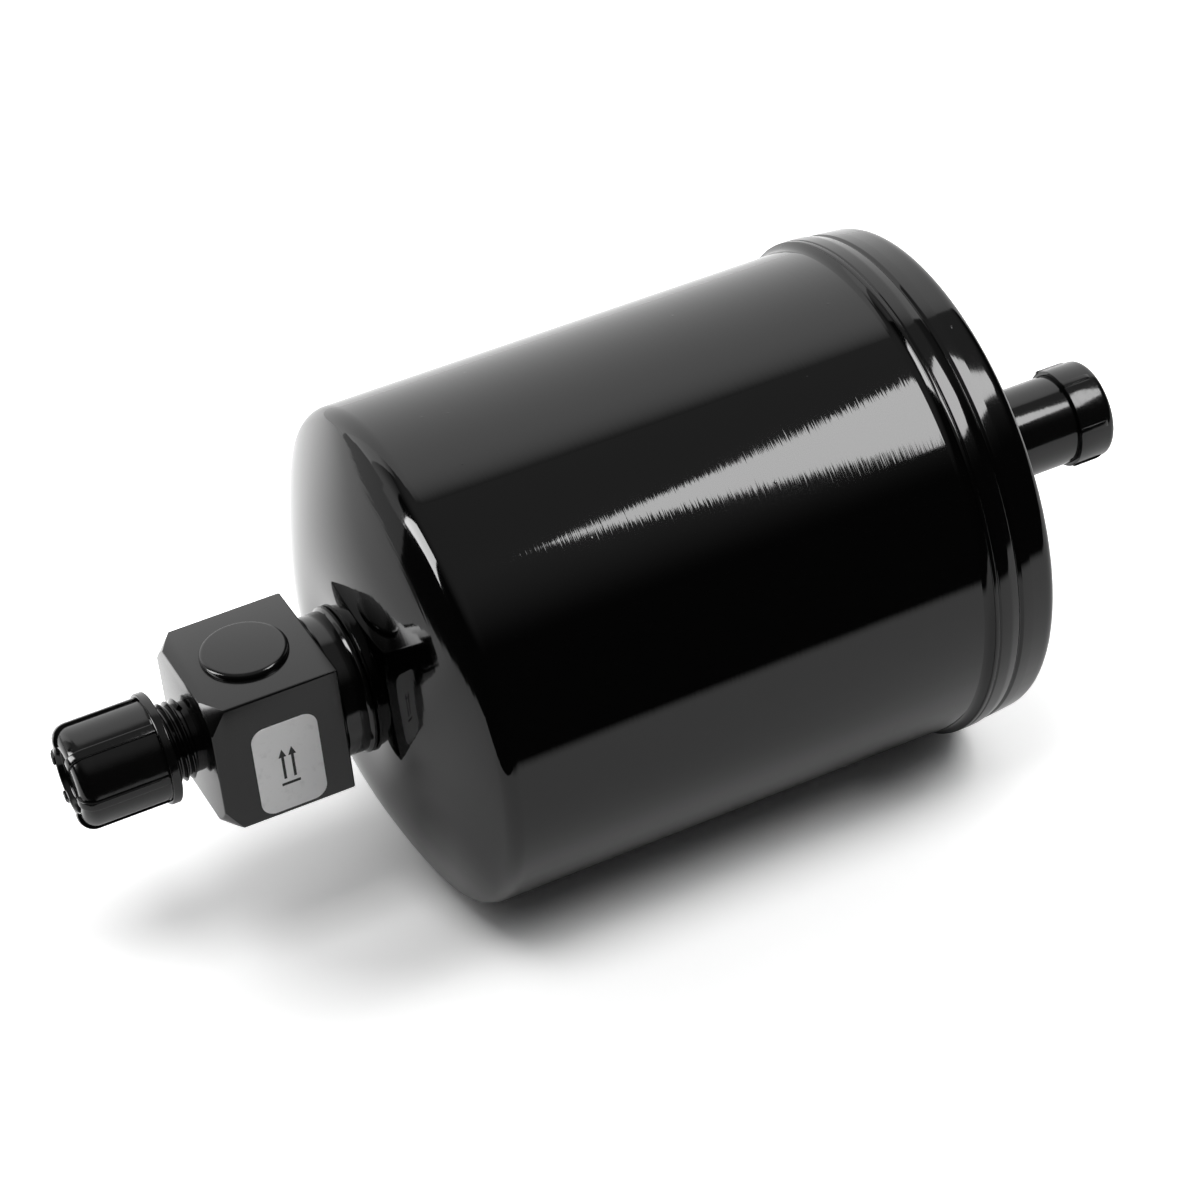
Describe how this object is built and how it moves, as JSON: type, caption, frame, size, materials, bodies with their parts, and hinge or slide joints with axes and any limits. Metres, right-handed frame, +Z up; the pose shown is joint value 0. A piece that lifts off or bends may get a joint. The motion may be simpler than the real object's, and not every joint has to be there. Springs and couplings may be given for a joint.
{
  "type": "receiver drier",
  "caption": "Black steel receiver drier: a round canister with a square inlet block and flare stub at its domed end, a welded end cover and a straight outlet tube, both ports capped.",
  "frame": {"origin": "on the flow axis, in the middle of the shell's straight wall", "axes": "+X along the flow axis from the inlet flare to the outlet tube, +Z up through the port plug, the label faces -Y"},
  "size_m": [0.2257, 0.1046, 0.1046],
  "materials": {
    "shell_paint": "gloss black",
    "block_paint": "satin black",
    "cap_plastic": "gloss black",
    "label_film": "matt light grey",
    "seal_rubber": "matt black",
    "bare_steel": "plain",
    "felt": "matt off-white",
    "desiccant": "matt beige",
    "gauze_brass": "plain"
  },
  "bodies": {
    "drier": {"manifold_block": "block_paint", "port_plug": "block_paint", "port_seal": "seal_rubber", "orientation_label": "label_film", "neck_weld": "block_paint", "neck_collar": "block_paint", "shell": "shell_paint", "girth_weld": "shell_paint", "end_cover": "shell_paint", "outlet_tube": "shell_paint", "tube_braze": "shell_paint", "inlet_deflector": "bare_steel", "bed_spring": "bare_steel", "upper_plate": "bare_steel", "upper_felt": "felt", "desiccant_bed": "desiccant", "lower_felt": "felt", "lower_plate": "bare_steel", "support_ring": "bare_steel", "outlet_strainer": "gauze_brass"},
    "flare_cap_seal": {"cap_liner": "seal_rubber"},
    "flare_cap": {"flare_cap": "cap_plastic"},
    "tube_cap": {"tube_cap": "cap_plastic"}
  },
  "joints": [
    {"name": "flare_cap_travel", "type": "slide", "parent": "drier", "child": "flare_cap_seal", "axis": [-1, 0, 0], "range_m": [0, 0.0183]},
    {"name": "flare_cap_turn", "type": "hinge", "parent": "flare_cap_seal", "child": "flare_cap", "pos_m": [-0.11, 0, 0], "axis": [-1, 0, 0], "range_deg": [0, 4600]},
    {"name": "tube_cap_pull", "type": "slide", "parent": "drier", "child": "tube_cap", "axis": [1, 0, 0], "range_m": [0, 0.012]}
  ],
  "couplings": [
    {"joint": "flare_cap_travel", "follows": "flare_cap_turn", "m_per_rad": 0.00022459}
  ]
}
